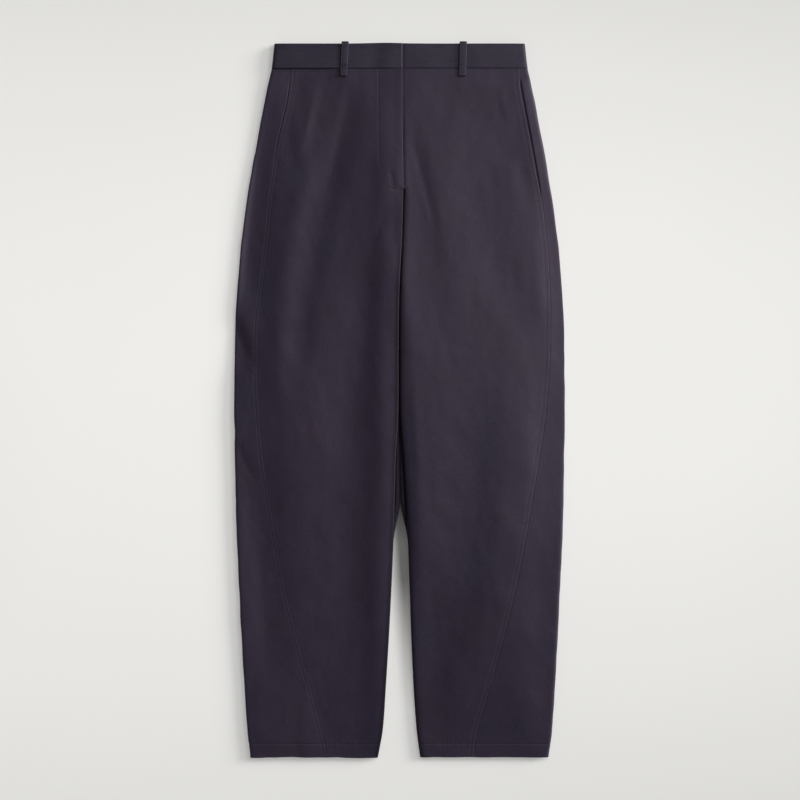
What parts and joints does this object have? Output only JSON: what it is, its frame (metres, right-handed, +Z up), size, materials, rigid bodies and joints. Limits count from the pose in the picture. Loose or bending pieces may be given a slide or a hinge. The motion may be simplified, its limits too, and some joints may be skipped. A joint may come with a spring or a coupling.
{
  "type": "barrel-leg trousers",
  "caption": "High-waisted trousers laid flat on their back, with wide barrel-shaped legs, curved side seams on the front, slant pockets in them, a hidden-closure fly and belt loops.",
  "frame": {"origin": "on the surface that the trousers lie on, under the middle of the laid garment", "axes": "+Y along the legs towards the waist, +X to the wearer's left, +Z up from the surface, through the front"},
  "size_m": [0.482, 1.044, 0.0179],
  "materials": {
    "twill": "soft matt twill, dark aubergine grey",
    "waistband": "soft matt twill over interlining, dark aubergine grey",
    "belt_loops": "soft matt twill, folded and edge-stitched",
    "lining": "plain matt pocketing, dark aubergine grey"
  },
  "bodies": {
    "root": {"waistband_right": "waistband", "waistband_left": "waistband", "front_right": "twill", "front_left": "twill", "back_right": "twill", "back_left": "twill", "pocket_right": "lining", "pocket_left": "lining", "fly_facing": "lining", "belt_loop_front_right": "belt_loops", "belt_loop_front_left": "belt_loops", "belt_loop_back_right": "belt_loops", "belt_loop_back_centre": "belt_loops", "belt_loop_back_left": "belt_loops"}
  },
  "joints": []
}
